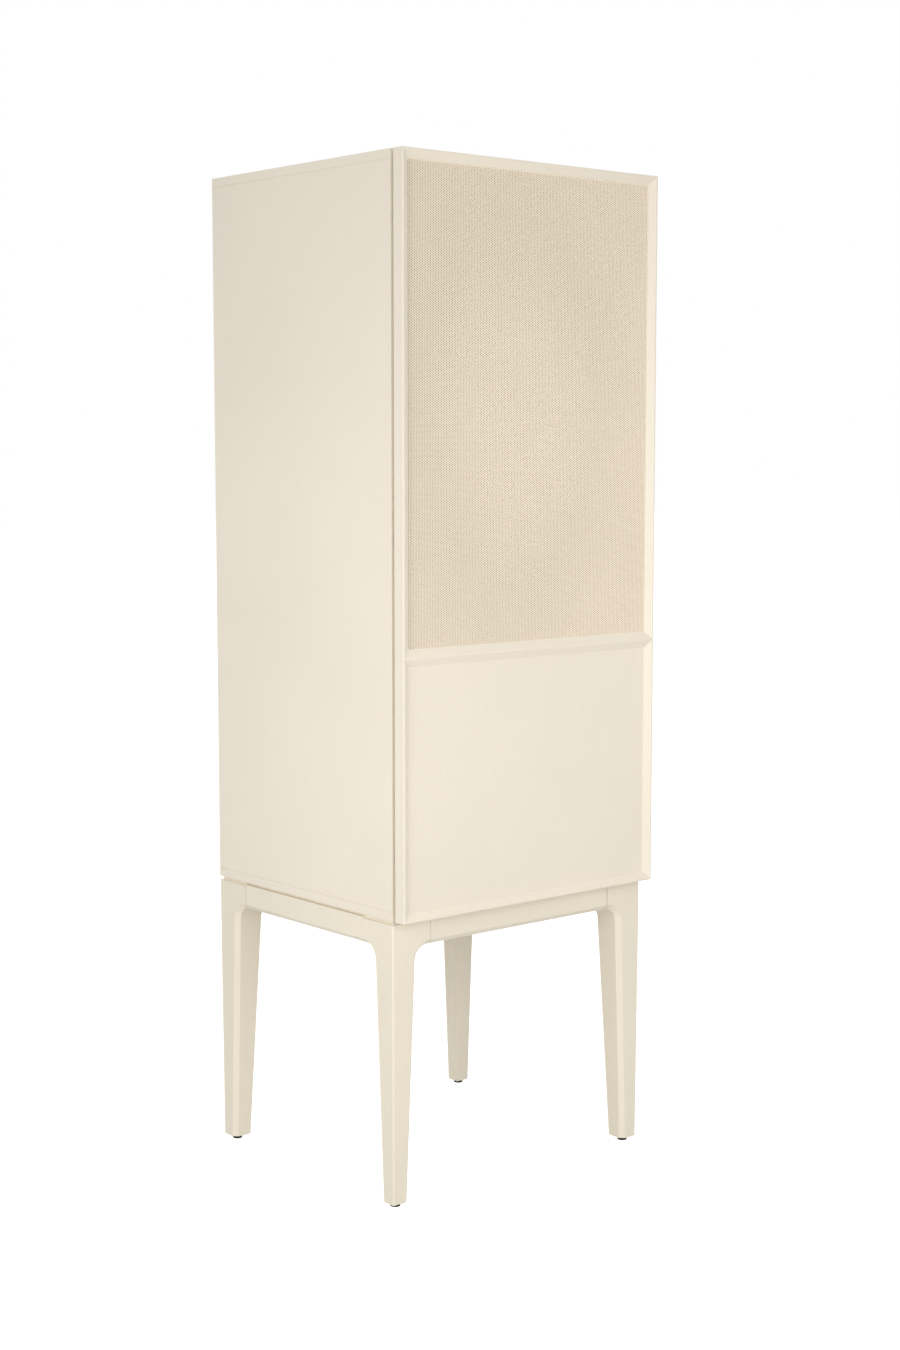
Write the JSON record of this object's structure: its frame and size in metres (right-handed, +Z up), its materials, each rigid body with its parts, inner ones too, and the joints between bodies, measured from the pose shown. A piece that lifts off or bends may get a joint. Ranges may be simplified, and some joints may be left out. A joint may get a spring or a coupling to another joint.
{
  "type": "one-door cabinet",
  "caption": "Tall lacquered cabinet on four tapered legs, with one side-hung door whose upper field is perforated sheet in mitred mouldings.",
  "frame": {"origin": "on the floor under the middle of the cabinet's bounding box", "axes": "+Z up, the door faces -Y, +X to the right seen from the front"},
  "size_m": [0.6, 0.558, 1.817],
  "materials": {
    "case_lacquer": "satin ivory lacquer on veneered board",
    "back_lacquer": "ivory lacquer on thin board",
    "base_lacquer": "satin ivory lacquer on solid wood, grain faintly open",
    "door_lacquer": "satin ivory lacquer",
    "sheet_lacquer": "satin ivory powder coat on perforated steel",
    "dowel_wood": "plain beech",
    "glide_plastic": "black moulded plastic",
    "latch_plastic": "pale grey moulded plastic",
    "fitting_zinc": "zinc-plated",
    "hinge_steel": "nickel-plated pressed steel"
  },
  "bodies": {
    "cabinet": {"apron_dowels": "dowel_wood", "apron_front": "base_lacquer", "apron_left": "base_lacquer", "apron_rear": "base_lacquer", "apron_right": "base_lacquer", "back_panel": "back_lacquer", "bottom_panel": "case_lacquer", "cam_bolts": "fitting_zinc", "cam_housings": "fitting_zinc", "case_dowels": "dowel_wood", "fixed_shelf": "case_lacquer", "glide_front_left": "glide_plastic", "glide_front_right": "glide_plastic", "glide_rear_left": "glide_plastic", "glide_rear_right": "glide_plastic", "hinge_arm_lower": "hinge_steel", "hinge_arm_middle": "hinge_steel", "hinge_arm_upper": "hinge_steel", "hinge_plate_lower": "hinge_steel", "hinge_plate_middle": "hinge_steel", "hinge_plate_upper": "hinge_steel", "latch_housing": "latch_plastic", "left_side": "case_lacquer", "leg_bolt_sleeves": "fitting_zinc", "leg_bolts": "fitting_zinc", "leg_front_left": "base_lacquer", "leg_front_right": "base_lacquer", "leg_rear_left": "base_lacquer", "leg_rear_right": "base_lacquer", "lower_shelf": "case_lacquer", "middle_shelf": "case_lacquer", "right_side": "case_lacquer", "shelf_pins": "hinge_steel", "top_panel": "case_lacquer", "upper_shelf": "case_lacquer"},
    "door": {"door_board": "door_lacquer", "hinge_cup_lower": "hinge_steel", "hinge_cup_middle": "hinge_steel", "hinge_cup_upper": "hinge_steel", "mesh_sheet": "sheet_lacquer", "middle_rail": "door_lacquer", "moulding_bottom": "door_lacquer", "moulding_left": "door_lacquer", "moulding_right": "door_lacquer", "moulding_top": "door_lacquer", "strike_plate": "hinge_steel"},
    "latch_plunger": {"latch_plunger": "latch_plastic"}
  },
  "joints": [
    {"name": "door_hinge", "type": "hinge", "parent": "cabinet", "child": "door", "pos_m": [-0.2925, -0.2585, 1.16525], "axis": [0, 0, 1], "range_deg": [-105, 0]},
    {"name": "latch_press", "type": "slide", "parent": "cabinet", "child": "latch_plunger", "axis": [0, 1, 0], "range_m": [0, 0.0025], "stiffness_N_per_m": 600, "springref_m": -0.002}
  ]
}
